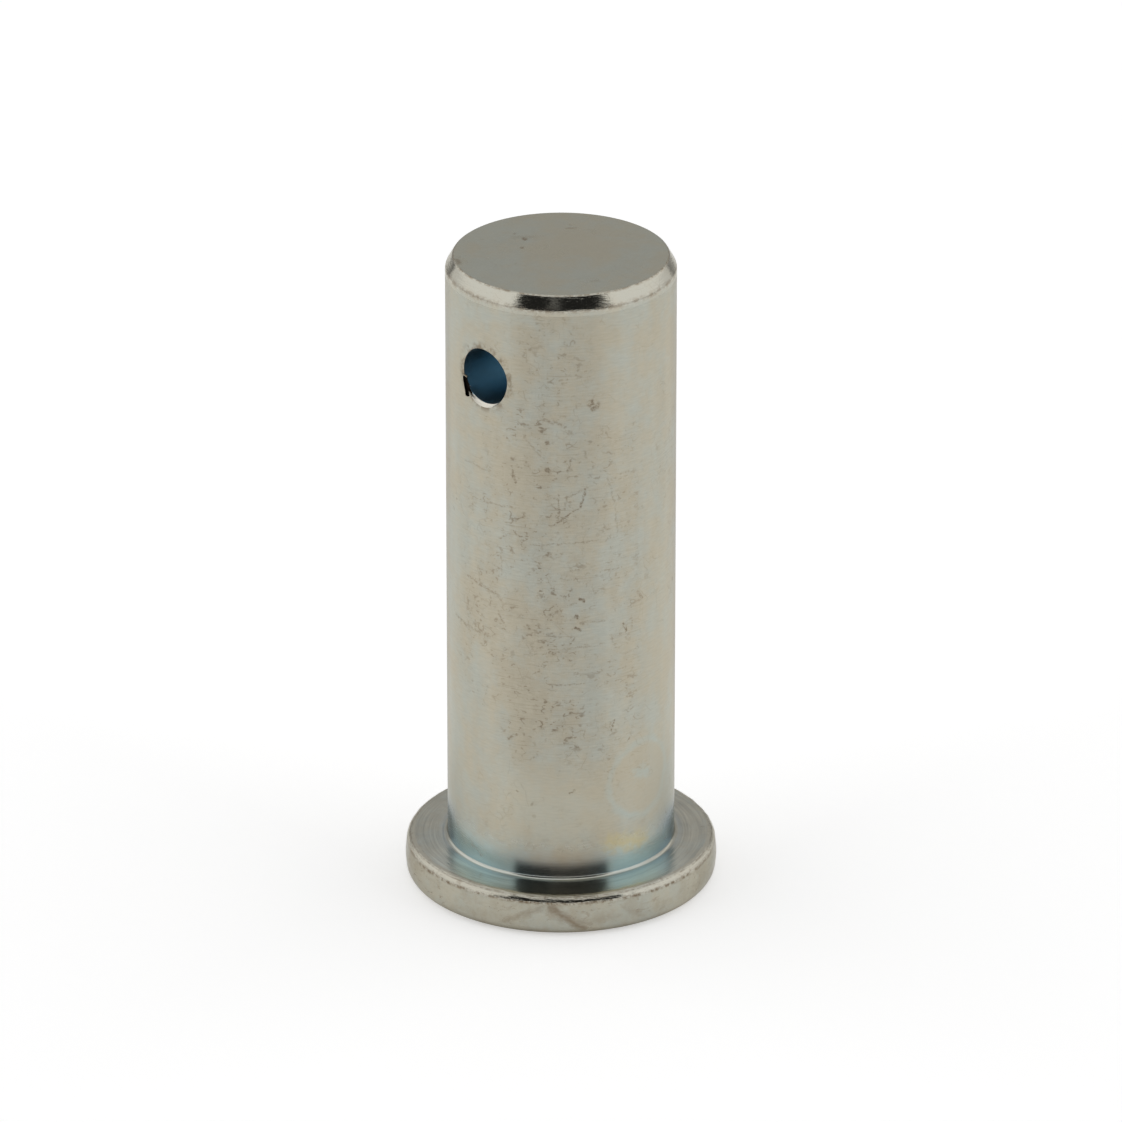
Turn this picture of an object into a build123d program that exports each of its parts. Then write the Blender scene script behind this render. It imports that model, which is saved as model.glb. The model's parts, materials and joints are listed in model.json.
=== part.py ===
from build123d import *
import os

# Clevis pin: a round shank with a flat head at one end and a chamfer at the other,
# drilled across near the free end for a split pin. One solid, in millimetres.
# The pin stands on its head: the origin is the centre of the head's outer face,
# +Z runs up the shank to the free end, and the split-pin hole runs along X.

# Shank
shank_diameter = 16.0
grip_length = 44.1          # bearing face to free end
root_radius = 0.25          # fillet where the shank meets the head
chamfer_depth = 0.55        # measured across the end face
chamfer_length = 0.95       # measured along the shank
chamfer_edge_radius = 0.2   # softened edges on both sides of the chamfer

# Head
head_diameter = 22.0
head_thickness = 3.0
rim_bulge = 0.12            # the rim is barrelled, this much proud at mid-thickness
rim_upper_radius = 0.5      # rim to bearing face
rim_lower_radius = 0.8      # rim to outer face

# Split-pin hole
hole_diameter = 4.0
hole_to_end = 6.7           # hole centre to free end
hole_edge_radius = 0.15     # broken edge at both mouths

# Sliver torn out of the shank beside the hole's -X mouth
nick_length = 1.4
nick_width = 0.5
nick_depth = 0.6
nick_offset = 1.75          # nick centre to the +Y side of the hole's centre
nick_drop = 1.25            # nick centre below the hole's centre
nick_lean = 14.0            # degrees from the shank's axis, its foot leaning under the hole

# Worked out from the sizes above
shank_radius = shank_diameter / 2
end_face_radius = shank_radius - chamfer_depth
head_radius = head_diameter / 2
rim_corner_radius = head_radius - rim_bulge
total_length = head_thickness + grip_length
chamfer_start = total_length - chamfer_length
hole_height = total_length - hole_to_end


def turned_blank():
    """Shank and head as one turned body, from half of its section on the XZ plane."""
    rounded_corners = {
        (shank_radius, head_thickness): root_radius,
        (shank_radius, chamfer_start): chamfer_edge_radius,
        (end_face_radius, total_length): chamfer_edge_radius,
        (rim_corner_radius, head_thickness): rim_upper_radius,
        (rim_corner_radius, 0): rim_lower_radius,
    }
    with BuildPart() as blank:
        with BuildSketch(Plane.XZ) as section:
            with BuildLine():
                rim = ThreePointArc(
                    (rim_corner_radius, 0),
                    (head_radius, head_thickness / 2),
                    (rim_corner_radius, head_thickness),
                )
                Polyline(
                    rim @ 1,
                    (shank_radius, head_thickness),
                    (shank_radius, chamfer_start),
                    (end_face_radius, total_length),
                    (0, total_length),
                    (0, 0),
                    rim @ 0,
                )
            make_face()
            for corner, radius in rounded_corners.items():
                nearest = section.vertices().sort_by_distance((*corner, 0))[0]
                fillet(nearest, radius)
        revolve(axis=Axis.Z)
    return blank.part


def split_pin_hole(blank):
    """Drill across the shank along X and break the edge of both mouths."""
    with BuildPart() as drilled:
        add(blank)
        with Locations((0, 0, hole_height)):
            Cylinder(
                hole_diameter / 2,
                2 * shank_diameter,
                rotation=(0, 90, 0),
                mode=Mode.SUBTRACT,
            )
        mouths = drilled.edges(Select.LAST).filter_by(GeomType.LINE, reverse=True)
        fillet(mouths, hole_edge_radius)
    return drilled.part


def torn_sliver():
    """What is missing from the shank's surface beside the -X mouth."""
    centre = (-shank_radius, nick_offset, hole_height - nick_drop)
    return Pos(*centre) * Rot(-nick_lean, 0, 0) * Box(2 * nick_depth, nick_width, nick_length)


clevis_pin = split_pin_hole(turned_blank()) - torn_sliver()

os.makedirs("parts", exist_ok=True)
export_step(clevis_pin, "parts/clevis_pin.step")
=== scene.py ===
import json
import math

import bmesh
import bpy
from mathutils import Matrix, Vector, noise


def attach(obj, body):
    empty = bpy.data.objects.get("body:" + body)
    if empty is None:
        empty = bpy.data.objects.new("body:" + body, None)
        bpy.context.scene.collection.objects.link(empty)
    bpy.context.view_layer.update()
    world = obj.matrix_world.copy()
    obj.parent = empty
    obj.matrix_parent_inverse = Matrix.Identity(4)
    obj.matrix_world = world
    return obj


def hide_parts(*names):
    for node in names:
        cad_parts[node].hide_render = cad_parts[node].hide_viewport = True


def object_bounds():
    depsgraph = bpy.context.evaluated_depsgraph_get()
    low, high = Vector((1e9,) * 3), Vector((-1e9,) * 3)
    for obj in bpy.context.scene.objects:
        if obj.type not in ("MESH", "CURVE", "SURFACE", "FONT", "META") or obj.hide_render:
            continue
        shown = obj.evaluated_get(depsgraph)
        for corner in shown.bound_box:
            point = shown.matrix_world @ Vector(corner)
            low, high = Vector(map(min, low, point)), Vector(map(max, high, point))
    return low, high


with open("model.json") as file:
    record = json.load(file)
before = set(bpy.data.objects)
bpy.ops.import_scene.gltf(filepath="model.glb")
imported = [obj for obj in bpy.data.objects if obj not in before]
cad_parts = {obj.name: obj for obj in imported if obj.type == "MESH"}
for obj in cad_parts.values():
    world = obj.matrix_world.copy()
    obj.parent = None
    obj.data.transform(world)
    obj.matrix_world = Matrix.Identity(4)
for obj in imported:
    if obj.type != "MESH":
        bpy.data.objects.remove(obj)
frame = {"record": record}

# A clevis pin standing on its head. Shapes are modelled in millimetres and brought to metres at the end.

mm = 0.001
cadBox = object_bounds()
mounts = {mount["name"]: mount for mount in frame["record"]["mounts"]}
pinLength = cadBox[1].z / mm
headRadius = cadBox[1].x / mm
headThickness = mounts["bearing_face"]["pos_m"][2] / mm
shankRadius = mounts["shank"]["dims"]["r_mm"]
holeRadius = mounts["split_pin_hole"]["dims"]["r_mm"]
holeHeight = mounts["split_pin_hole"]["pos_m"][2] / mm

meshing = {
    "weld": 0.0005,         # mm, corners closer than this are joined
    "tinyEdge": 0.002,      # mm, shorter edges are dropped after the cuts
    "sharpFrom": 35.0,      # degrees, a sharper bend is shaded as an edge
}


def ramp(value, low, high):
    # 0 below low, 1 above high, eased in between
    share = min(max((value - low) / (high - low), 0), 1)
    return share * share * (3 - 2 * share)


def makeObject(name, bm):
    mesh = bpy.data.meshes.new(name)
    bm.to_mesh(mesh)
    bm.free()
    made = bpy.data.objects.new(name, mesh)
    bpy.context.scene.collection.objects.link(made)
    return made


def roundCorner(bm, corner, radius, segments):
    ends = [edge.other_vert(corner).co - corner.co for edge in corner.link_edges]
    turn = math.pi - ends[0].angle(ends[1])
    bmesh.ops.bevel(
        bm,
        geom=[corner],
        offset=radius * math.tan(turn / 2),
        offset_type="OFFSET",
        segments=segments,
        profile=0.5,
        affect="VERTICES",
        material=-1,
    )


def spinProfile(outline, axis, steps, ringGap, segments):
    # A closed body spun from its half section, whose corners are (x, z, rounding)
    bm = bmesh.new()
    corners = [bm.verts.new((x, 0, z)) for x, z, _ in outline]
    for pair in zip(corners, corners[1:]):
        bm.edges.new(pair)
    for corner, (_, _, radius) in zip(corners, outline):
        if radius:
            roundCorner(bm, corner, radius, segments)
    for run in list(bm.edges):
        cuts = int(run.calc_length() / ringGap)
        if cuts:
            bmesh.ops.subdivide_edges(bm, edges=[run], cuts=cuts)
    bmesh.ops.spin(
        bm,
        geom=bm.verts[:] + bm.edges[:],
        cent=(0, 0, 0),
        axis=axis,
        angle=math.tau,
        steps=steps,
        use_merge=True,
        use_duplicate=False,
    )
    bmesh.ops.remove_doubles(bm, verts=bm.verts, dist=meshing["weld"])
    bmesh.ops.recalc_face_normals(bm, faces=bm.faces)
    return bm


# The turned body: one profile, rounded corner by corner, then spun about the axis

bodyShape = {
    "steps": 320,           # facets round the axis
    "ringGap": 0.3,         # mm between rings along the profile
    "rimBulge": 0.12,       # how far the rim is barrelled
    "rimCrownRound": 2.0,
    "rimUpperRound": 0.50,  # rim wall to rim slope
    "rimSlope": (0.36, 0.30),  # in from the rim and down from the bearing face
    "rimInnerRound": 0.62,  # rim slope to bearing face
    "rimLowerRound": 0.8,
    "rootRound": 0.24,
    "chamferDepth": 0.55,
    "chamferLength": 0.95,
    "chamferFootRound": 0.40,
    "chamferTopRound": 0.24,
}


def turnBody():
    shape = bodyShape
    rimCorner = headRadius - shape["rimBulge"]
    endRadius = shankRadius - shape["chamferDepth"]
    slopeIn, slopeDown = shape["rimSlope"]
    outline = [
        (0, 0, 0),
        (rimCorner, 0, shape["rimLowerRound"]),
        (headRadius, headThickness / 2, shape["rimCrownRound"]),
        (rimCorner, headThickness - slopeDown, shape["rimUpperRound"]),
        (rimCorner - slopeIn, headThickness, shape["rimInnerRound"]),
        (shankRadius, headThickness, shape["rootRound"]),
        (shankRadius, pinLength - shape["chamferLength"], shape["chamferFootRound"]),
        (endRadius, pinLength, shape["chamferTopRound"]),
        (0, pinLength, 0),
    ]
    return spinProfile(outline, (0, 0, 1), shape["steps"], shape["ringGap"], segments=6)


# Hand wear that the lathe's shape doesn't have: a lumpy rim and an uneven chamfer foot

unevenness = {
    "rimLump": 0.025,       # mm, on the rounded edges of the rim
    "rimLumpLength": 1.1,   # mm from lump to lump
    "rimLowerShare": 0.35,  # how much of it the lower edge has
    "chamferWander": 0.07,  # mm, up and down
    "chamferWanderLength": 2.5,
}


def wearBody(bm):
    amount = unevenness
    for vert in bm.verts:
        place = vert.co
        radius = math.hypot(place.x, place.y)
        if radius < shankRadius / 2:
            continue
        outward = Vector((place.x, place.y, 0)) / radius

        # The rounded edges of the rim
        underRim = 1 - ramp(place.z, headThickness, headThickness + 0.1)
        onRim = ramp(radius, headRadius - 0.9, headRadius - 0.3) * underRim
        if onRim > 0:
            upper = ramp(place.z, headThickness - 0.9, headThickness - 0.2)
            lump = amount["rimLump"] * onRim * abs(noise.noise(place / amount["rimLumpLength"]))
            vert.co -= outward * lump * (amount["rimLowerShare"] + upper)
            vert.co.z -= lump * upper

        # The foot of the chamfer
        underEdge = 1 - ramp(place.z, pinLength - 0.5, pinLength - 0.1)
        atChamfer = ramp(place.z, pinLength - 1.5, pinLength - 1.0) * underEdge
        if atChamfer > 0 and radius > shankRadius - 0.6:
            wander = noise.noise(outward * shankRadius / amount["chamferWanderLength"])
            vert.co.z += amount["chamferWander"] * atChamfer * wander


# The split-pin hole is drilled through, countersunk a little, and torn on one side of its -X mouth

drill = {
    "steps": 144,           # facets round the hole
    "ringGap": 0.8,         # mm between rings along the cutter
    "past": 1.5,            # mm that the cutter stands out of the shank
    "countersink": 0.15,    # mm added to the hole's radius at the shank's surface
    "countersinkDepth": 0.22,
    "countersinkDrop": 0.12,  # mm, the lower lip is the wider one
    "lipRound": 0.25,
    "tear": (0.42, 0.48, 1.45),  # into the shank, round it and along it, in mm
    "tearOffset": 1.77,
    "tearDrop": 1.25,
    "tearLean": 14.0,       # degrees
    "tearRagged": 0.06,     # mm that its faces wander
    "tearLump": 0.35,       # mm from lump to lump
    "tearReach": 0.55,      # mm round from its middle, what is cut in here is torn metal
    "burr": (0.55, 0.12, 0.10),  # length round the shank, thickness and height, in mm
    "burrLean": 78.0,       # degrees from the shank's axis
    "burrAside": 0.12,      # mm past the middle of the tear
    "burrOver": 0.06,       # mm above its top
}


def drillCutter():
    shape = drill
    reach = shankRadius + shape["past"]
    bottom = shankRadius - shape["countersinkDepth"]
    wide = holeRadius + shape["countersink"] * (1 + shape["past"] / shape["countersinkDepth"])
    outline = [
        (-reach, 0, 0),
        (-reach, wide, 0),
        (-bottom, holeRadius, shape["lipRound"]),
        (bottom, holeRadius, shape["lipRound"]),
        (reach, wide, 0),
        (reach, 0, 0),
    ]
    bm = spinProfile(outline, (1, 0, 0), shape["steps"], shape["ringGap"], segments=5)
    for vert in bm.verts:
        inLip = ramp(abs(vert.co.x), bottom - 0.1, shankRadius - 0.05)
        vert.co.z -= shape["countersinkDrop"] * inLip
    bmesh.ops.translate(bm, verts=bm.verts, vec=(0, 0, holeHeight))
    return makeObject("drillCutter", bm)


def tearCutter():
    shape = drill
    bm = bmesh.new()
    bmesh.ops.create_cube(bm, size=1)
    depth, width, length = shape["tear"]
    bmesh.ops.scale(bm, vec=(2 * depth, width, length), verts=bm.verts)
    bmesh.ops.subdivide_edges(bm, edges=bm.edges, cuts=5, use_grid_fill=True)
    for vert in bm.verts:
        vert.co += shape["tearRagged"] * noise.noise_vector(vert.co / shape["tearLump"])
    lean = Matrix.Rotation(-math.radians(shape["tearLean"]), 4, "X")
    bmesh.ops.rotate(bm, verts=bm.verts, cent=(0, 0, 0), matrix=lean)
    place = (-shankRadius, shape["tearOffset"], holeHeight - shape["tearDrop"])
    bmesh.ops.translate(bm, verts=bm.verts, vec=place)
    bmesh.ops.recalc_face_normals(bm, faces=bm.faces)
    return makeObject("tearCutter", bm)


def burr():
    # A curl of metal pushed up along the top of the tear
    shape = drill
    length, thickness, height = shape["burr"]
    bm = bmesh.new()
    bmesh.ops.create_cone(bm, cap_ends=True, segments=8, radius1=0.5, radius2=0.18, depth=1)
    bmesh.ops.scale(bm, vec=(2 * height, thickness, length), verts=bm.verts)
    longEdges = [edge for edge in bm.edges if edge.calc_length() > 0.3]
    bmesh.ops.subdivide_edges(bm, edges=longEdges, cuts=3)
    lean = Matrix.Rotation(-math.radians(shape["burrLean"]), 4, "X")
    bmesh.ops.rotate(bm, verts=bm.verts, cent=(0, 0, 0), matrix=lean)
    tearTop = holeHeight - shape["tearDrop"] + shape["tear"][2] / 2
    outward = math.sqrt(shankRadius ** 2 - shape["tearOffset"] ** 2)
    place = (-outward, shape["tearOffset"] + shape["burrAside"], tearTop + shape["burrOver"])
    bmesh.ops.translate(bm, verts=bm.verts, vec=place)
    bmesh.ops.recalc_face_normals(bm, faces=bm.faces)
    return makeObject("burr", bm)


def combine(piece, other, operation="DIFFERENCE"):
    cut = piece.modifiers.new("cut", "BOOLEAN")
    cut.operation = operation
    cut.solver = "EXACT"
    cut.object = other
    evaluated = piece.evaluated_get(bpy.context.evaluated_depsgraph_get())
    result = bpy.data.meshes.new_from_object(evaluated)
    piece.modifiers.clear()
    piece.data = result
    bpy.data.objects.remove(other)


def buildPin():
    bm = turnBody()
    wearBody(bm)
    pin = makeObject("pinVisual", bm)
    combine(pin, drillCutter())
    combine(pin, tearCutter())
    combine(pin, burr(), "UNION")
    bm = bmesh.new()
    bm.from_mesh(pin.data)
    bmesh.ops.dissolve_degenerate(bm, edges=bm.edges, dist=meshing["tinyEdge"])
    bmesh.ops.triangulate(bm, faces=[face for face in bm.faces if len(face.verts) > 4])
    bmesh.ops.scale(bm, vec=(mm, mm, mm), verts=bm.verts)
    bm.to_mesh(pin.data)
    bm.free()
    for polygon in pin.data.polygons:
        polygon.use_smooth = True
    pin.data.set_sharp_from_angle(angle=math.radians(meshing["sharpFrom"]))
    return pin


pin = buildPin()
print("pin built:", len(pin.data.polygons), "faces")


# Finishes. Every pattern reads the pin's own millimetres, so it stays on the metal

def addNode(tree, kind, **settings):
    made = tree.nodes.new(kind)
    for name, value in settings.items():
        setattr(made, name, value)
    return made


def feed(tree, socket, value):
    if isinstance(value, bpy.types.NodeSocket):
        tree.links.new(value, socket)
    else:
        socket.default_value = value


def calc(tree, operation, *values, clamp=False):
    made = addNode(tree, "ShaderNodeMath", operation=operation, use_clamp=clamp)
    for socket, value in zip(made.inputs, values):
        feed(tree, socket, value)
    return made.outputs[0]


def plus(tree, one, other):
    return calc(tree, "ADD", one, other)


def minus(tree, one, other):
    return calc(tree, "SUBTRACT", one, other)


def times(tree, one, other):
    return calc(tree, "MULTIPLY", one, other)


def most(tree, one, other):
    return calc(tree, "MAXIMUM", one, other)


def apart(tree, one, other):
    return calc(tree, "ABSOLUTE", minus(tree, one, other))


def hypot(tree, one, other):
    return calc(tree, "SQRT", plus(tree, times(tree, one, one), times(tree, other, other)))


def vectors(tree, operation, *values, result="Vector"):
    made = addNode(tree, "ShaderNodeVectorMath", operation=operation)
    for socket, value in zip((made.inputs[0], made.inputs[1]), values):
        feed(tree, socket, value)
    return made.outputs[result]


def dot(tree, one, other):
    return vectors(tree, "DOT_PRODUCT", one, other, result="Value")


def scaled(tree, vector, amount):
    made = addNode(tree, "ShaderNodeVectorMath", operation="SCALE")
    feed(tree, made.inputs[0], vector)
    feed(tree, made.inputs["Scale"], amount)
    return made.outputs[0]


def components(tree, vector):
    made = addNode(tree, "ShaderNodeSeparateXYZ")
    feed(tree, made.inputs[0], vector)
    return made.outputs


def joined(tree, *values):
    # A vector from its x, y and z. Those that aren't given are 0
    made = addNode(tree, "ShaderNodeCombineXYZ")
    for socket, value in zip(made.inputs, values):
        feed(tree, socket, value)
    return made.outputs[0]


def eased(tree, value, low, high, lowTo=0.0, highTo=1.0):
    made = addNode(tree, "ShaderNodeMapRange", interpolation_type="SMOOTHSTEP")
    names = ("Value", "From Min", "From Max", "To Min", "To Max")
    for name, given in zip(names, (value, low, high, lowTo, highTo)):
        feed(tree, made.inputs[name], given)
    return made.outputs["Result"]


def mixed(tree, share, one, other, kind="RGBA"):
    made = addNode(tree, "ShaderNodeMix", data_type=kind)
    sockets = [socket for socket in made.inputs if socket.enabled]
    for socket, value in zip(sockets, (share, one, other)):
        feed(tree, socket, value)
    return [socket for socket in made.outputs if socket.enabled][0]


def cloudy(tree, place, size, detail=3.0, rough=0.55):
    # Noise with blobs about size mm across
    made = addNode(tree, "ShaderNodeTexNoise")
    feed(tree, made.inputs["Vector"], place)
    feed(tree, made.inputs["Scale"], 1 / size)
    feed(tree, made.inputs["Detail"], detail)
    feed(tree, made.inputs["Roughness"], rough)
    return made.outputs[0]


def stirred(tree, place, scale):
    # Noise that differs in x, y and z, to push a place about
    made = addNode(tree, "ShaderNodeTexNoise")
    feed(tree, made.inputs["Vector"], place)
    feed(tree, made.inputs["Scale"], scale)
    return made.outputs["Color"]


def makeGroup(name, inputs, outputs):
    group = bpy.data.node_groups.new(name, "ShaderNodeTree")
    for label, kind, value in inputs:
        socket = group.interface.new_socket(label, in_out="INPUT", socket_type="NodeSocket" + kind)
        socket.default_value = value
    for label, kind in outputs:
        group.interface.new_socket(label, in_out="OUTPUT", socket_type="NodeSocket" + kind)
    given = group.nodes.new("NodeGroupInput").outputs
    out = group.nodes.new("NodeGroupOutput").inputs
    return group, given, out


def placed(tree, group, **values):
    made = addNode(tree, "ShaderNodeGroup", node_tree=group)
    for name, value in values.items():
        feed(tree, made.inputs[name], value)
    return made.outputs


def placeGroup():
    # Where a point is on the pin: in mm, and unrolled from the round of the shank
    tree, _, out = makeGroup(
        "pinPlace",
        [],
        [("Place", "Vector"), ("Unrolled", "Vector"), ("Radius", "Float"), ("Height", "Float")],
    )
    place = scaled(tree, addNode(tree, "ShaderNodeTexCoord").outputs["Object"], 1 / mm)
    x, y, z = components(tree, place)
    radius = hypot(tree, x, y)
    around = calc(tree, "ARCTAN2", times(tree, y, -1), times(tree, x, -1))
    feed(tree, out["Place"], place)
    feed(tree, out["Unrolled"], joined(tree, times(tree, around, shankRadius), z))
    feed(tree, out["Radius"], radius)
    feed(tree, out["Height"], z)
    return tree


def mottleGroup():
    # Zinc that has toned in clouds, warm in one place and cool in the next, with a fine grain over it
    tree, given, out = makeGroup(
        "zincMottle",
        [
            ("Place", "Vector", (0, 0, 0)),
            ("Warm", "Color", (1, 1, 1, 1)),
            ("Cool", "Color", (1, 1, 1, 1)),
            ("Fine", "Vector", (0, 0, 0)),
            ("Grain", "Float", 0.1),
        ],
        [("Color", "Color"), ("Cloud", "Float")],
    )
    broad = cloudy(tree, given["Place"], 5.5, detail=2)
    patch = cloudy(tree, given["Place"], 1.3, detail=4, rough=0.7)
    cloud = plus(tree, times(tree, broad, 0.55), times(tree, patch, 0.45))
    cloud = eased(tree, cloud, 0.36, 0.62)
    grain = cloudy(tree, given["Fine"], 1.0, detail=3, rough=0.65)
    streak = cloudy(tree, vectors(tree, "MULTIPLY", given["Place"], (1, 1, 0.12)), 1.4, detail=2)
    change = plus(tree, times(tree, grain, 0.7), times(tree, streak, 0.3))
    level = plus(tree, 1, times(tree, minus(tree, change, 0.5), given["Grain"]))
    tone = mixed(tree, cloud, given["Cool"], given["Warm"])
    feed(tree, out["Color"], scaled(tree, tone, level))
    feed(tree, out["Cloud"], cloud)
    return tree


def turningGroup():
    # Fine tool lines round the axis. Across is the way the tool moved: height on the shank, radius on
    # a face. The lines waver slowly on their way round
    tree, given, out = makeGroup(
        "turningLines",
        [("Place", "Vector", (0, 0, 0)), ("Across", "Float", 0.0), ("Pitch", "Float", 0.15)],
        [("Line", "Float")],
    )
    slow = vectors(tree, "MULTIPLY", scaled(tree, given["Place"], 0.12), (1, 1, 0))
    along = joined(tree, calc(tree, "DIVIDE", given["Across"], given["Pitch"]))
    feed(tree, out["Line"], cloudy(tree, vectors(tree, "ADD", slow, along), 1.0, detail=2, rough=0.6))
    return tree


# Three sets of scratches: how dense each is along x, y and z, and how wide its lines are
scratchSets = [
    ((0.45, 0.45, 1.5), 0.030),
    ((1.1, 1.1, 0.5), 0.022),
    ((0.8, 0.5, 0.8), 0.022),
]


def scuffGroup():
    # Hair-thin scratches in all directions, in drifts, with dark pinholes among them
    tree, given, out = makeGroup(
        "scuffs",
        [("Place", "Vector", (0, 0, 0)), ("Amount", "Float", 0.5)],
        [("Scratch", "Float"), ("Pinhole", "Float")],
    )
    place = vectors(tree, "ADD", given["Place"], scaled(tree, stirred(tree, given["Place"], 0.7), 1.2))
    found = 0.0
    for stretch, width in scratchSets:
        cells = addNode(tree, "ShaderNodeTexVoronoi", feature="DISTANCE_TO_EDGE")
        feed(tree, cells.inputs["Vector"], vectors(tree, "MULTIPLY", place, stretch))
        feed(tree, cells.inputs["Scale"], 0.8)
        line = eased(tree, cells.outputs["Distance"], 0.0, width, 1.0, 0.0)
        aside = (stretch[0] * 31, stretch[1] * 17, stretch[2] * 11)
        cloud = cloudy(tree, vectors(tree, "ADD", given["Place"], aside), 1.5, detail=3)
        found = most(tree, found, times(tree, line, eased(tree, cloud, 0.54, 0.62)))
    drift = eased(tree, cloudy(tree, given["Place"], 7, detail=2), 0.38, 0.62)
    feed(tree, out["Scratch"], times(tree, times(tree, found, drift), given["Amount"]))
    dots = addNode(tree, "ShaderNodeTexVoronoi", feature="F1")
    feed(tree, dots.inputs["Vector"], vectors(tree, "MULTIPLY", place, (0.8, 0.8, 1.1)))
    feed(tree, dots.inputs["Scale"], 1.15)
    chance = addNode(tree, "ShaderNodeSeparateColor")
    feed(tree, chance.inputs[0], dots.outputs["Color"])
    size = eased(tree, chance.outputs[0], 0.55, 1.0, 0.0, 0.17)
    pinhole = eased(tree, minus(tree, size, dots.outputs["Distance"]), 0.0, 0.05)
    feed(tree, out["Pinhole"], times(tree, times(tree, pinhole, drift), given["Amount"]))
    return tree


def speckGroup():
    # Small brown flecks that gather where the pin has been handled: crooked, round and hair-thin ones
    tree, given, out = makeGroup(
        "specks", [("Place", "Vector", (0, 0, 0))], [("Speck", "Float"), ("Drift", "Float")]
    )
    place = given["Place"]
    bend = cloudy(tree, vectors(tree, "MULTIPLY", place, (0.8, 1.4, 1)), 1.3, detail=2, rough=0.55)
    thread = eased(tree, apart(tree, bend, 0.5), 0.004, 0.036, 1.0, 0.0)
    piece = cloudy(tree, vectors(tree, "ADD", place, (40, 9, 0)), 0.7, detail=3, rough=0.6)
    spot = cloudy(tree, vectors(tree, "MULTIPLY", place, (2.2, 3.2, 1)), 1.0, detail=3, rough=0.6)
    hair = cloudy(tree, vectors(tree, "MULTIPLY", place, (0.22, 8.0, 1)), 1.0, detail=2, rough=0.5)
    drift = cloudy(tree, vectors(tree, "MULTIPLY", place, (1, 0.6, 1)), 2.0, detail=4, rough=0.7)
    gathered = eased(tree, drift, 0.43, 0.60)
    crooked = times(tree, thread, eased(tree, piece, 0.50, 0.58))
    found = most(tree, crooked, eased(tree, spot, 0.59, 0.68))
    found = times(tree, found, eased(tree, drift, 0.41, 0.56, 0.08, 0.85))
    hairs = times(tree, eased(tree, hair, 0.62, 0.70), eased(tree, drift, 0.40, 0.55, 0.1, 0.4))
    feed(tree, out["Speck"], most(tree, times(tree, found, 0.88), hairs))
    feed(tree, out["Drift"], gathered)
    return tree


def strokeGroup():
    # One mark drawn from a point to a point on the unrolled surface, in mm
    tree, given, out = makeGroup(
        "stroke",
        [
            ("Place", "Vector", (0, 0, 0)),
            ("From", "Vector", (0, 0, 0)),
            ("To", "Vector", (1, 0, 0)),
            ("Width", "Float", 0.1),
            ("Soft", "Float", 0.5),
            ("Strength", "Float", 1.0),
        ],
        [("Mask", "Float")],
    )
    run = vectors(tree, "SUBTRACT", given["To"], given["From"])
    gone = vectors(tree, "SUBTRACT", given["Place"], given["From"])
    share = calc(tree, "DIVIDE", dot(tree, gone, run), dot(tree, run, run), clamp=True)
    off = vectors(tree, "DISTANCE", gone, scaled(tree, run, share), result="Value")
    edge = times(tree, given["Width"], minus(tree, 1, given["Soft"]))
    mask = eased(tree, off, edge, given["Width"], 1.0, 0.0)
    feed(tree, out["Mask"], times(tree, mask, given["Strength"]))
    return tree


groups = {
    "place": placeGroup(),
    "mottle": mottleGroup(),
    "turning": turningGroup(),
    "scuffs": scuffGroup(),
    "specks": speckGroup(),
    "stroke": strokeGroup(),
}


def strokes(tree, place, listed, wiggle, whole):
    # All the marks of one list, as one mask. A mark is (from, to, width, softness, strength). Its edge
    # wiggles by so many mm, and where the surface is rough it keeps only the share named by whole
    moved = vectors(tree, "SUBTRACT", stirred(tree, place, 2.2), (0.5, 0.5, 0.5))
    flat = vectors(tree, "MULTIPLY", scaled(tree, moved, 2 * wiggle), (1, 1, 0))
    shaken = vectors(tree, "ADD", place, flat)
    total = 0.0
    for start, end, width, soft, strength in listed:
        mask = placed(
            tree,
            groups["stroke"],
            Place=shaken,
            From=(*start, 0),
            To=(*end, 0),
            Width=width,
            Soft=soft,
            Strength=strength,
        )[0]
        total = most(tree, total, mask)
    broken = eased(tree, cloudy(tree, place, 0.22, detail=3, rough=0.7), 0.40, 0.60, whole, 1.0)
    return times(tree, total, broken)


def onShank(around, height):
    # Degrees round from the middle of the torn mouth, and mm above the floor
    return math.radians(around) * shankRadius, height


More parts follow.
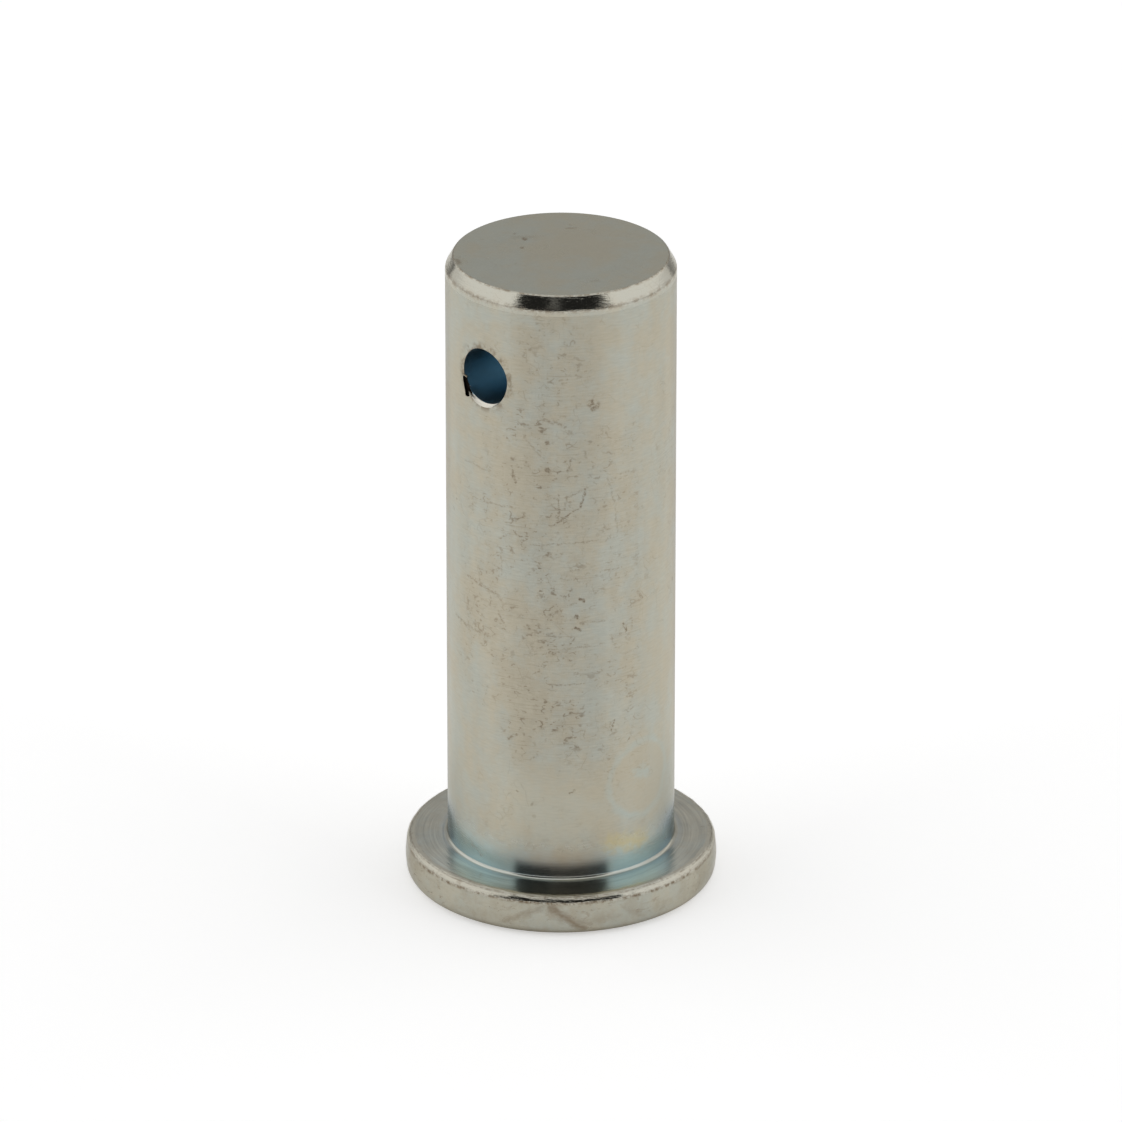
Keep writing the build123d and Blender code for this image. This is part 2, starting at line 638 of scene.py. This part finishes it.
# Single marks, each (from, to, width, softness, strength): grime, tones and handled areas on the shank, spots
# on the end face in x and y, and stains on the wall of the head. All are in mm
marks = {
    "grime": [
        (onShank(57, 39.2), onShank(59.5, 39.0), 0.42, 0.6, 0.60),
        (onShank(58, 38.8), onShank(57.5, 39.3), 0.28, 0.6, 0.80),
        (onShank(33, 38.1), onShank(44, 37.6), 0.20, 0.9, 0.50),
        (onShank(23, 36.7), onShank(32, 35.3), 0.10, 0.9, 0.35),
        (onShank(66, 33.4), onShank(69, 31.6), 0.13, 0.9, 0.45),
        (onShank(70, 31.4), onShank(71, 29.2), 0.12, 0.9, 0.35),
        (onShank(17, 33.9), onShank(19, 33.1), 0.13, 0.7, 0.90),
        (onShank(24, 33.8), onShank(39, 33.9), 0.08, 0.9, 0.35),
        (onShank(35.5, 34.4), onShank(37, 34.0), 0.14, 0.7, 0.85),
        (onShank(45.5, 34.2), onShank(47.5, 35.2), 0.13, 0.7, 0.60),
        (onShank(-14, 33.6), onShank(4, 33.5), 0.12, 0.9, 0.35),
        (onShank(1, 31.1), onShank(19, 31.2), 0.10, 0.9, 0.45),
        (onShank(37, 30.0), onShank(47, 31.1), 0.10, 0.8, 0.85),
        (onShank(47, 31.1), onShank(51.5, 31.5), 0.10, 0.8, 0.65),
        (onShank(51.5, 31.5), onShank(54.5, 32.8), 0.15, 0.8, 0.80),
        (onShank(54.5, 32.8), onShank(44, 32.2), 0.10, 0.8, 0.50),
        (onShank(40.8, 32.5), onShank(40.8, 30.6), 0.10, 0.8, 0.55),
        (onShank(43.5, 31.4), onShank(45, 32.3), 0.14, 0.8, 0.50),
        (onShank(28, 28.6), onShank(62, 28.9), 0.09, 0.9, 0.50),
        (onShank(11, 27.8), onShank(11, 25.9), 0.13, 0.9, 0.45),
        (onShank(62, 26.4), onShank(73, 26.5), 0.10, 0.9, 0.40),
        (onShank(-12, 24.9), onShank(10, 24.3), 0.14, 0.9, 0.65),
        (onShank(-4, 25.9), onShank(-2, 24.6), 0.15, 0.9, 0.45),
        (onShank(51.5, 24.5), onShank(53, 24.3), 0.15, 0.6, 0.95),
        (onShank(84, 24.2), onShank(87, 23.6), 0.14, 0.7, 0.60),
        (onShank(35, 23.2), onShank(42, 23.7), 0.17, 0.8, 0.65),
        (onShank(49.3, 23.3), onShank(50.5, 23.1), 0.20, 0.7, 0.90),
        (onShank(49.6, 22.3), onShank(50.8, 22.2), 0.20, 0.7, 0.90),
        (onShank(9, 23.0), onShank(12, 22.3), 0.16, 0.8, 0.60),
        (onShank(52, 22.7), onShank(64, 22.7), 0.13, 0.9, 0.45),
        (onShank(75, 22.1), onShank(76, 21.5), 0.12, 0.6, 0.85),
        (onShank(-24, 21.2), onShank(3, 20.9), 0.22, 0.9, 0.50),
        (onShank(36, 20.7), onShank(64, 20.9), 0.09, 0.9, 0.40),
        (onShank(36, 18.0), onShank(52, 18.1), 0.09, 0.9, 0.50),
        (onShank(68, 14.1), onShank(69.5, 14.9), 0.12, 0.6, 0.80),
        (onShank(77.5, 13.1), onShank(79, 13.3), 0.12, 0.6, 0.80),
        (onShank(15, 13.5), onShank(19, 13.9), 0.17, 0.8, 0.80),
        (onShank(46.5, 9.7), onShank(48.5, 9.9), 0.17, 0.7, 0.60),
        (onShank(-10, 4.3), onShank(-2, 3.8), 0.15, 0.8, 0.60),
    ],
    "blueing": [
        (onShank(-60, 3.4), onShank(16, 3.2), 3.0, 1.0, 1.0),
        (onShank(70, 3.2), onShank(150, 3.4), 3.0, 1.0, 1.0),
        (onShank(180, 3.4), onShank(150, 3.4), 3.0, 1.0, 1.0),
        (onShank(-180, 3.4), onShank(-60, 3.4), 3.0, 1.0, 1.0),
        (onShank(84, 10.4), onShank(90, 10.0), 0.7, 0.9, 0.35),
    ],
    "yellowing": [
        (onShank(68, 5.5), onShank(87, 5.0), 1.1, 1.0, 0.7),
    ],
    "handled": [
        (onShank(26, 36), onShank(34, 15), 5.0, 0.7, 0.85),
        (onShank(4, 31), onShank(-2, 18), 4.0, 0.8, 0.65),
        (onShank(68, 36), onShank(72, 12), 4.0, 0.8, 0.55),
        (onShank(34, 44), onShank(40, 40), 4.0, 0.8, 0.60),
        (onShank(0, 6), onShank(70, 7), 3.5, 0.8, 0.20),
        (onShank(-60, 30), onShank(-140, 22), 6.0, 0.9, 0.5),
        (onShank(120, 34), onShank(150, 16), 5.0, 0.9, 0.5),
    ],
    "tideRing": {"around": 87, "height": 9.8, "radius": 3.3, "width": 0.5, "strength": 0.24},
    "endFace": [
        ((0.2, 3.5), (0.3, 3.7), 0.27, 0.7, 0.95),
        ((0.4, 4.7), (0.5, 4.7), 0.20, 0.9, 0.60),
        ((-1.0, 2.7), (-1.1, 2.6), 0.19, 0.8, 0.80),
        ((0.9, 3.4), (0.0, 4.3), 0.50, 1.0, 0.25),
        ((3.6, 2.7), (4.1, 2.3), 0.16, 0.8, 0.50),
        ((4.2, 2.9), (4.2, 3.0), 0.13, 0.8, 0.45),
        ((-6.0, 4.1), (-5.7, 4.5), 0.40, 0.9, 0.70),
        ((-2.3, -4.9), (-2.0, -5.1), 0.35, 1.0, 0.30),
    ],
    "headWall": [
        (onShank(21, 0.9), onShank(35, 2.2), 0.36, 1.0, 0.50),
        (onShank(34, 2.2), onShank(41, 2.5), 0.40, 1.0, 0.30),
        (onShank(38.5, 2.2), onShank(50, 0.5), 0.44, 1.0, 0.95),
        (onShank(39, 2.1), onShank(43, 1.4), 0.60, 1.0, 0.55),
        (onShank(47, 1.2), onShank(53, 0.9), 0.30, 1.0, 0.45),
        (onShank(51, 1.0), onShank(63, 1.3), 0.35, 1.0, 0.20),
        (onShank(66, 1.8), onShank(72, 1.0), 0.30, 1.0, 0.25),
    ],
}

platingColours = {
    "warm": (0.457, 0.420, 0.328, 1),
    "cool": (0.427, 0.437, 0.383, 1),
    "blue": (0.40, 0.53, 0.545, 1),
    # pale blue, lighter than the plating: painted reflection on the bearing face
    "headBlueReflection": (0.70, 0.735, 0.675, 1),
    "yellow": (0.53, 0.45, 0.24, 1),
    "smudge": (0.33, 0.285, 0.21, 1),
    # dark brown for dirt, and for painted shade at the front of the foot of the shank
    "grime": (0.225, 0.165, 0.105, 1),
    # grey for painted shade at the foot of the shank
    "paintedFootShade": (0.30, 0.31, 0.27, 1),
    "straw": (0.58, 0.53, 0.40, 1),
    # dark blue, for painted shade in the root and at the foot, and as a slight tint over the head
    "rootBlue": (0.14, 0.275, 0.43, 1),
    "bore": (0.40, 0.60, 0.72, 1),
    # near black: painted shadow inside the tear
    "tearShadow": (0.012, 0.009, 0.007, 1),
    "polished": (0.56, 0.54, 0.465, 1),
    "burnished": (0.72, 0.69, 0.61, 1),
    "rimGrime": (0.15, 0.105, 0.06, 1),
    "glancing": (0.90, 0.89, 0.85, 1),  # of what is mirrored at a glancing angle
    "rimGlancing": (0.72, 0.71, 0.68, 1),
}

# How each finish looks: its roughness, the depth of its tool lines, their pitch in mm, and how strong the
# grain and the scuffs are. Some are also stretched, which draws mirror images out across the tool lines, or
# battered, which is how high the ridges of many small knocks stand
finishes = {
    "platedShank": dict(rough=0.30, line=0.5, pitch=0.11, grain=0.42, scuff=0.45, stretched=0.75),
    "platedHead": dict(rough=0.20, line=3.0, pitch=0.20, grain=1.30, scuff=0.3, stretched=0.3),
    "platedRim": dict(rough=0.20, line=0.3, pitch=0.25, grain=0.30, scuff=0.4, battered=7.5),
    "endFace": dict(rough=0.24, line=0.3, pitch=0.30, grain=0.22, scuff=0.3),
    "outerFace": dict(rough=0.24, line=0.8, pitch=0.25, grain=0.30, scuff=0.5),
    "chamfer": dict(rough=0.12, line=0.4, pitch=0.15, grain=0.30, scuff=0.5, battered=4.0),
    "holeLip": dict(rough=0.20, line=0.3, pitch=0.20, grain=0.30, scuff=0.0, battered=3.0),
    "drilledBore": dict(rough=0.32, line=0.3, pitch=0.20, grain=0.10, scuff=0.0),
    "tornMetalShadowed": dict(rough=0.60, line=1.0, pitch=0.20, grain=0.30, scuff=0.0),
}

# The colour laid over the whole of a finish, and how much of it
tints = {
    "platedHead": ("rootBlue", 0.12),
    "platedRim": ("cool", 0.3),
    "endFace": ("cool", 0.2),
    "holeLip": ("burnished", 0.8),
    "drilledBore": ("bore", 0.85),
    # the tear's faces are painted near black, a painted shadow in the notch
    "tornMetalShadowed": ("tearShadow", 1.0),
}

surface = {
    "relief": 0.004,        # mm, what a depth of 1 stands for
    "scratchDepth": 0.6,    # beside a tool line of depth 1
    "scratchDark": 0.6,     # beside a pinhole
    "pip": (1.3, 0.2, 1.5),  # the ring that facing an end left: its radius and width in mm, and its depth
    "knocks": (1.6, 6.5),   # to the mm, round the pin and across its edges
    "dirtCover": 0.8,       # how much of the metal's colour the dirt hides
    "dirtRough": 0.25,      # what dirt adds to the roughness
    "cloudRough": 0.04,     # how much it changes from cloud to cloud
    "footRough": 0.18,      # the foot of the shank is smoother
    "rimPolish": 0.12,      # and so is the rolled edge of the rim
}

# The side, nearly the camera's, towards which light and shade are painted: a painted reflection on the
# bearing face, and painted shade at the foot of the shank
paintedLightTurn = math.radians(38)
paintedLightSide = (-math.cos(paintedLightTurn), -math.sin(paintedLightTurn), 0)

# How the foot of the shank is tinted. Straw is a tone. The painted foot shade and the grime at the front are
# painted shade that darkens what the metal mirrors there, and the dark blue near the root is a blue tone and
# painted shade. Each tint has how far its fullest place faces the painted-light side (1 is square to it), how
# far from there it is gone and full, the heights between which it comes in and those between which it goes
# out, and its strength
footTintsAndShade = {
    "straw": (1.0, (0.20, 0.03), (5.2, 7.0), (9.0, 13.0), 0.32),
    # painted shade: grey that darkens the foot beside the front, where the metal mirrors the floor near the
    # head
    "paintedFootShade": (0.2, (0.55, 0.05), (4.2, 5.8), (6.0, 13.5), 0.75),
    # dark blue near the root at the sides: a blue tone, and painted shade
    "rootBlue": (0.2, (0.42, 0.0), (2.0, 3.0), (4.4, 7.0), 0.55),
    # painted shade: the grime colour at the front of the foot deepens the dark reflection there
    "grime": (1.0, (0.22, 0.05), (2.0, 3.0), (4.2, 5.8), 0.35),
}


def paintedLightFacing(tree, at):
    # 1 where the pin faces the painted-light side squarely, and -1 on the far side
    return calc(tree, "DIVIDE", dot(tree, at["Place"], paintedLightSide), at["Radius"])


def ringPlace(tree, at):
    # The bearing face read in rings, with a slow change round each
    rings = joined(tree, times(tree, at["Radius"], 7))
    return vectors(tree, "ADD", rings, scaled(tree, at["Place"], 0.25))


def rolledEdge(tree, height):
    # The top edge of the rim, where rolling left it bright
    return eased(tree, height, headThickness - 0.7, headThickness - 0.35)


def tideMark(tree, unrolled, colour):
    # The ring that a drop left as it dried, a little warmer inside
    ring = marks["tideRing"]
    middle = (*onShank(ring["around"], ring["height"]), 0)
    off = vectors(tree, "DISTANCE", unrolled, middle, result="Value")
    off = plus(tree, off, times(tree, cloudy(tree, unrolled, 1.6), 0.9))
    edge = eased(tree, apart(tree, off, ring["radius"]), 0, ring["width"], ring["strength"], 0)
    inside = eased(tree, off, ring["radius"] - 0.4, ring["radius"], 0.5, 0)
    colour = mixed(tree, inside, colour, platingColours["warm"])
    return mixed(tree, edge, colour, platingColours["blue"])


def mouthRust(tree, place):
    # A little brown round each mouth of the split-pin hole
    _, across, up = components(tree, vectors(tree, "SUBTRACT", place, (0, 0, holeHeight)))
    near = eased(tree, hypot(tree, across, up), holeRadius + 0.15, holeRadius + 0.75, 0.8, 0.0)
    patches = eased(tree, cloudy(tree, place, 0.8, detail=4, rough=0.7), 0.42, 0.60)
    return times(tree, near, patches)


def brokenLine(tree, place, height, line, width, strength):
    # Dirt caught in a broken line round the pin, at one height
    near = eased(tree, apart(tree, height, line), 0.0, width, strength, 0.0)
    shifted = vectors(tree, "ADD", place, (0, 0, line * 3))
    patches = eased(tree, cloudy(tree, shifted, 0.45, detail=4, rough=0.8), 0.38, 0.62)
    return times(tree, near, patches)


# What each finish has beyond grain and scuffs. All of these take the colour, dirt and roughness so far and
# give them back changed

def dressShank(tree, at, colour, dirt, rough):
    # Tones along the shank, then those of its foot
    unrolled, height = at["Unrolled"], at["Height"]
    colour = tideMark(tree, unrolled, colour)
    blue = strokes(tree, unrolled, marks["blueing"], wiggle=0.6, whole=0.85)
    colour = mixed(tree, blue, colour, platingColours["blue"])
    yellow = strokes(tree, unrolled, marks["yellowing"], wiggle=0.6, whole=0.8)
    colour = mixed(tree, yellow, colour, platingColours["yellow"])
    facing = paintedLightFacing(tree, at)
    # Tints and painted shade on the foot of the shank
    for stain, (fullest, turns, rises, falls, strength) in footTintsAndShade.items():
        share = eased(tree, apart(tree, facing, fullest), *turns, 0.0, strength)
        share = times(tree, share, eased(tree, height, *rises))
        share = times(tree, share, eased(tree, height, *falls, 1.0, 0.0))
        colour = mixed(tree, share, colour, platingColours[stain])

    # Grime, brown specks and smudges where it was handled, and rust at the hole
    dirt = most(tree, dirt, strokes(tree, unrolled, marks["grime"], wiggle=0.22, whole=0.08))
    specks = placed(tree, groups["specks"], Place=unrolled)
    handled = strokes(tree, unrolled, marks["handled"], wiggle=1.5, whole=1.0)
    dirt = most(tree, dirt, times(tree, specks["Speck"], handled))
    smudged = times(tree, specks["Drift"], times(tree, handled, 0.22))
    colour = mixed(tree, smudged, colour, platingColours["smudge"])
    dirt = most(tree, dirt, mouthRust(tree, at["Place"]))

    # Painted shade in the root, dark blue, and a smoother foot above it
    inRoot = eased(tree, height, headThickness + 0.2, headThickness + 1.8, 0.20, 0.0)
    colour = mixed(tree, inRoot, colour, platingColours["rootBlue"])
    foot = eased(tree, height, headThickness + 0.5, headThickness + 3.5)
    rough = mixed(tree, foot, surface["footRough"], rough, kind="FLOAT")
    return colour, dirt, rough


def dressHead(tree, at, colour, dirt, rough):
    # Pale blue in rings: the plating's blue tone, made lighter as a painted reflection on the painted-light
    # side, but hardly at the root, near the rim and off that side
    radius = at["Radius"]
    rings = cloudy(tree, ringPlace(tree, at), 1.5, detail=2)
    blue = eased(tree, radius, headRadius - 1.6, headRadius - 0.1, 0.92, 0.3)
    blue = times(tree, blue, eased(tree, radius, shankRadius + 0.1, shankRadius + 0.4, 0.45, 1.0))
    blue = times(tree, blue, eased(tree, paintedLightFacing(tree, at), 0.25, 0.72, 0.08, 1.0))
    blue = times(tree, blue, eased(tree, rings, 0.36, 0.60, 0.45, 1.0))
    colour = mixed(tree, blue, colour, platingColours["headBlueReflection"])
    # Painted shade in the root, dark blue
    inRoot = eased(tree, radius, shankRadius + 0.3, shankRadius + 0.8, 0.15, 0.0)
    inRoot = times(tree, inRoot, eased(tree, radius, shankRadius + 0.2, shankRadius + 0.3))
    colour = mixed(tree, inRoot, colour, platingColours["rootBlue"])
    return colour, dirt, rough


def dressRim(tree, at, colour, dirt, rough):
    # Stained in patches, specked, and darker and duller towards the bottom of the wall
    place, unrolled, height = at["Place"], at["Unrolled"], at["Height"]
    dirt = most(tree, dirt, strokes(tree, unrolled, marks["headWall"], wiggle=0.25, whole=0.75))
    stained = eased(tree, cloudy(tree, place, 1.8, detail=4, rough=0.65), 0.44, 0.66, 0.08, 0.45)
    colour = mixed(tree, stained, colour, platingColours["smudge"])
    specks = placed(tree, groups["specks"], Place=unrolled)
    dirt = most(tree, dirt, times(tree, specks["Speck"], 0.5))
    # darker and duller towards the bottom of the wall
    towardsFloor = eased(tree, height, 0.15, 0.75, 0.40, 0.0)
    dirt = most(tree, dirt, towardsFloor)

    # Bright along the rolled edge, with a dark line under it and a thin one on it
    polished = rolledEdge(tree, height)
    colour = mixed(tree, times(tree, polished, 0.6), colour, platingColours["polished"])
    underEdge = brokenLine(tree, place, height, headThickness - 0.48, 0.20, 0.9)
    onEdge = brokenLine(tree, place, height, headThickness - 0.12, 0.05, 0.55)
    colour = mixed(tree, most(tree, underEdge, onEdge), colour, platingColours["rimGrime"])
    rough = mixed(tree, polished, rough, surface["rimPolish"], kind="FLOAT")
    return colour, dirt, rough


def dressEndFace(tree, at, colour, dirt, rough):
    # Spotted by hand
    flat = vectors(tree, "MULTIPLY", at["Place"], (1, 1, 0))
    dirt = most(tree, dirt, strokes(tree, flat, marks["endFace"], wiggle=0.15, whole=0.6))
    return colour, dirt, rough


def dressOuterFace(tree, at, colour, dirt, rough):
    # Rubbed in patches, and dirtier towards its edge
    rubbed = eased(tree, cloudy(tree, at["Place"], 2.2, detail=4, rough=0.65), 0.42, 0.66, 0.1, 0.5)
    colour = mixed(tree, rubbed, colour, platingColours["smudge"])
    dirt = most(tree, dirt, eased(tree, at["Radius"], headRadius - 1.6, headRadius - 0.7, 0.0, 0.3))
    return colour, dirt, rough


def dressChamfer(tree, at, colour, dirt, rough):
    # Bright, with dirt caught along both of its edges
    place, height = at["Place"], at["Height"]
    foot = pinLength - bodyShape["chamferLength"]
    polished = eased(tree, height, foot - 0.35, foot + 0.1, 0.1, 0.7)
    colour = mixed(tree, polished, colour, platingColours["polished"])
    dirt = most(tree, dirt, brokenLine(tree, place, height, foot, 0.30, 0.75))
    dirt = most(tree, dirt, brokenLine(tree, place, height, pinLength - 0.03, 0.14, 0.9))
    return colour, dirt, rough


dressings = {
    "platedShank": dressShank,
    "platedHead": dressHead,
    "platedRim": dressRim,
    "endFace": dressEndFace,
    "outerFace": dressOuterFace,
    "chamfer": dressChamfer,
}


def reliefOf(tree, name, at, across, worn):
    # Tool lines with the scratches sunk into them, the ring on a faced end, and knocks on the edges
    look = finishes[name]
    lines = placed(tree, groups["turning"], Place=at["Place"], Across=across, Pitch=look["pitch"])["Line"]
    relief = minus(
        tree,
        times(tree, lines, look["line"]),
        times(tree, worn, surface["scratchDepth"]),
    )
    if name in ("endFace", "outerFace"):
        pipRadius, pipWidth, pipDepth = surface["pip"]
        pip = eased(tree, apart(tree, at["Radius"], pipRadius), 0.0, pipWidth, pipDepth, 0.0)
        relief = plus(tree, relief, pip)
    if "battered" in look:
        roundPin, acrossEdge = surface["knocks"]
        around = times(tree, components(tree, at["Unrolled"])[0], roundPin)
        slope = times(tree, minus(tree, at["Height"], at["Radius"]), acrossEdge)
        knocks = cloudy(tree, joined(tree, around, slope), 1.0, detail=3, rough=0.55)
        knocks = times(tree, knocks, look["battered"])
        if name == "platedRim":
            knocks = times(tree, knocks, rolledEdge(tree, at["Height"]))
        relief = plus(tree, relief, knocks)
    return relief


def platedMetal(name):
    look = finishes[name]
    material = bpy.data.materials.new(name)
    material.use_nodes = True
    tree = material.node_tree
    shader = tree.nodes["Principled BSDF"]
    at = placed(tree, groups["place"])

    # Across is the way that the tool moved, and fine is where the grain is read: closest together that way
    if name in ("platedShank", "platedRim", "drilledBore"):
        across = at["Height"]
        fine = vectors(tree, "MULTIPLY", at["Unrolled"], (1.2, 8, 1))
    elif name == "platedHead":
        across = at["Radius"]
        fine = ringPlace(tree, at)
    else:
        across = at["Radius"]
        fine = scaled(tree, at["Place"], 4)

    mottle = placed(
        tree,
        groups["mottle"],
        Place=at["Place"],
        Warm=platingColours["warm"],
        Cool=platingColours["cool"],
        Fine=fine,
        Grain=look["grain"],
    )
    scuffs = placed(tree, groups["scuffs"], Place=at["Place"], Amount=look["scuff"])
    worn = most(tree, times(tree, scuffs["Scratch"], surface["scratchDark"]), scuffs["Pinhole"])

    colour, dirt, rough = mottle["Color"], worn, look["rough"]
    if name in tints:
        tint, share = tints[name]
        colour = mixed(tree, share, colour, platingColours[tint])
    if name in dressings:
        colour, dirt, rough = dressings[name](tree, at, colour, dirt, rough)
    colour = mixed(tree, times(tree, dirt, surface["dirtCover"]), colour, platingColours["grime"])
    clouded = times(tree, minus(tree, mottle["Cloud"], 0.5), surface["cloudRough"])
    duller = plus(tree, clouded, times(tree, dirt, surface["dirtRough"]))

    feed(tree, shader.inputs["Base Color"], colour)
    feed(tree, shader.inputs["Roughness"], plus(tree, rough, duller))
    shader.inputs["Metallic"].default_value = 1
    glancing = "rimGlancing" if name == "platedRim" else "glancing"
    shader.inputs["Specular Tint"].default_value = platingColours[glancing]
    shader.inputs["Anisotropic"].default_value = look.get("stretched", 0.0)
    shader.inputs["Anisotropic Rotation"].default_value = 0.25
    bump = addNode(tree, "ShaderNodeBump")
    bump.inputs["Distance"].default_value = surface["relief"] * mm
    feed(tree, bump.inputs["Height"], reliefOf(tree, name, at, across, worn))
    feed(tree, shader.inputs["Normal"], bump.outputs[0])
    return material


def finishAt(x, y, z, upward):
    # Which finish the face at this place has. The small distances keep a face beside an edge out of the
    # finish on its other side
    radius = math.hypot(x, y)
    fromHole = math.hypot(y, z - holeHeight)
    tearHeight = holeHeight - drill["tearDrop"]
    besideTear = abs(y - drill["tearOffset"]) < drill["tearReach"]
    inTear = besideTear and abs(z - tearHeight) < drill["tear"][2] / 2
    if z > pinLength - 0.02 and radius < shankRadius - bodyShape["chamferDepth"] - 0.05:
        return "endFace"
    if z > pinLength - bodyShape["chamferLength"] - 0.35:
        return "chamfer"
    if z > headThickness + 1 and radius < shankRadius - 0.03:
        if x < 0 and inTear and fromHole > holeRadius + 0.01:
            return "tornMetalShadowed"
        return "drilledBore" if fromHole < holeRadius + 0.02 else "holeLip"
    if z > headThickness + 0.15:
        return "platedShank"
    if upward < -0.995:
        return "outerFace"
    inRoot = radius < shankRadius + 0.5 and z > headThickness - 0.1
    return "platedHead" if upward > 0.995 or inRoot else "platedRim"


def paintPin(pin):
    order = list(finishes)
    for name in order:
        pin.data.materials.append(platedMetal(name))
    for face in pin.data.polygons:
        face.material_index = order.index(finishAt(*(face.center / mm), face.normal.z))


paintPin(pin)
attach(pin, "root")
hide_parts("clevis_pin")
print("finishes done")


# Studio: a white floor, in a room that the camera sees as plain white but that the metal mirrors with a dark
# side towards the camera, bright sides and a grey back

viewpoint = {
    "azimuth": -48.0,       # degrees, 0 looks along +Y
    "away": 641.2,          # mm from the pin's axis, level with the floor
    "height": 315.0,        # mm above the floor
    "tilt": 24.423,         # degrees down
    "lens": 323.6,
}

studio = {
    "darkHalfWidth": 48.5,  # degrees to each side of the camera
    "darkFrom": 10.0,       # degrees above the floor
    "darkTo": 55.0,
    "dark": 0.026,
    "side": 1.3,
    "backFrom": 141.0,      # degrees round from the camera's side
    "back": 0.71,
    "lowBack": 0.50,        # behind the pin, near the horizon
    "overhead": 1.0,
    "gapRise": (-8.0, 5.0),  # the gap between side and back, from this many degrees up to this many
    "gap": 0.25,
    "lensAt": (-8.6, 37.0),  # a round patch in the dark: degrees round from the camera's side, and up
    "lensWidth": 5.0,
    "lens": 0.30,
    "floorRadius": 0.28,    # m
    "floorGlow": 0.45,
    "floorFront": 0.345,    # what the metal mirrors of the floor's glow towards the camera
    "floorBack": 0.25,      # and away from it
}


def towards(turn, rise):
    # The direction so many degrees round from the camera's side, and up
    around = math.radians(viewpoint["azimuth"] + turn)
    up = math.radians(rise)
    return math.sin(around) * math.cos(up), -math.cos(around) * math.cos(up), math.sin(up)


def buildCamera():
    data = bpy.data.cameras.new("camera")
    data.sensor_width = 36
    data.lens = viewpoint["lens"]
    data.clip_start = 0.01
    data.clip_end = 20
    camera = bpy.data.objects.new("camera", data)
    camera.location = Vector(towards(0, 0)) * viewpoint["away"] * mm
    camera.location.z = viewpoint["height"] * mm
    tilt = math.radians(90 - viewpoint["tilt"])
    camera.rotation_euler = (tilt, 0, math.radians(viewpoint["azimuth"]))
    bpy.context.scene.collection.objects.link(camera)
    bpy.context.scene.camera = camera


def stepAt(tree, value, at, soft, before=0.0, after=1.0):
    # From one level to the other, within so many degrees of an angle
    return eased(tree, value, at - soft, at + soft, before, after)


def angleTo(tree, look, direction):
    return calc(tree, "DEGREES", calc(tree, "ARCCOSINE", dot(tree, look, direction)))


def buildRoom():
    world = bpy.data.worlds.new("room")
    bpy.context.scene.world = world
    world.use_nodes = True
    tree = world.node_tree
    tree.nodes.clear()
    look = addNode(tree, "ShaderNodeTexCoord").outputs["Generated"]
    x, y, z = components(tree, look)
    level = vectors(tree, "NORMALIZE", joined(tree, x, y))
    turn = angleTo(tree, level, towards(0, 0))
    rise = calc(tree, "DEGREES", calc(tree, "ARCSINE", z))
    gapAt = studio["backFrom"]

    wall = stepAt(tree, turn, studio["darkHalfWidth"], 2, studio["dark"], studio["side"])
    wall = mixed(tree, stepAt(tree, turn, gapAt, 4), wall, studio["back"], kind="FLOAT")
    light = mixed(tree, stepAt(tree, rise, studio["darkTo"], 3), wall, studio["overhead"], kind="FLOAT")

    gapLow, gapHigh = studio["gapRise"]
    inGap = eased(tree, rise, gapLow - 2, gapLow)
    inGap = times(tree, inGap, eased(tree, rise, gapHigh, gapHigh + 2, 1, 0))
    inGap = times(tree, inGap, eased(tree, apart(tree, turn, gapAt), 2, 4, 1, 0))
    horizon = stepAt(tree, turn, gapAt, 4, 1.0, studio["lowBack"])
    horizon = mixed(tree, inGap, horizon, studio["gap"], kind="FLOAT")
    light = mixed(tree, stepAt(tree, rise, studio["darkFrom"], 2), horizon, light, kind="FLOAT")

    offLens = angleTo(tree, look, towards(*studio["lensAt"]))
    inLens = eased(tree, offLens, studio["lensWidth"] - 2, studio["lensWidth"] + 1, 1.0, 0.0)
    light = mixed(tree, inLens, light, studio["lens"], kind="FLOAT")

    path = addNode(tree, "ShaderNodeLightPath")
    shown = mixed(tree, path.outputs["Is Camera Ray"], light, 1.0, kind="FLOAT")
    background = addNode(tree, "ShaderNodeBackground")
    feed(tree, background.inputs["Strength"], shown)
    output = addNode(tree, "ShaderNodeOutputWorld")
    feed(tree, output.inputs["Surface"], background.outputs[0])


def buildFloor():
    bm = bmesh.new()
    bmesh.ops.create_circle(bm, cap_ends=True, segments=96, radius=studio["floorRadius"])
    floor = makeObject("floor", bm)
    material = bpy.data.materials.new("whiteFloor")
    material.use_nodes = True
    tree = material.node_tree
    shader = tree.nodes["Principled BSDF"]
    shader.inputs["Base Color"].default_value = (0.8, 0.8, 0.8, 1)
    shader.inputs["Roughness"].default_value = 0.9
    shader.inputs["Specular IOR Level"].default_value = 0
    path = addNode(tree, "ShaderNodeLightPath")
    place = vectors(tree, "NORMALIZE", addNode(tree, "ShaderNodeTexCoord").outputs["Object"])
    facing = dot(tree, place, towards(0, 0))
    glow = eased(tree, facing, 0.55, 0.95, studio["floorGlow"], studio["floorFront"])
    glow = mixed(tree, eased(tree, facing, -0.88, -0.70), studio["floorBack"], glow, kind="FLOAT")
    glow = times(tree, path.outputs["Is Glossy Ray"], glow)
    shown = times(tree, path.outputs["Is Camera Ray"], studio["floorGlow"])
    shader.inputs["Emission Color"].default_value = (1, 1, 1, 1)
    feed(tree, shader.inputs["Emission Strength"], plus(tree, glow, shown))
    floor.data.materials.append(material)


buildCamera()
buildRoom()
buildFloor()
bpy.context.scene.view_settings.view_transform = "Standard"
print("studio done")
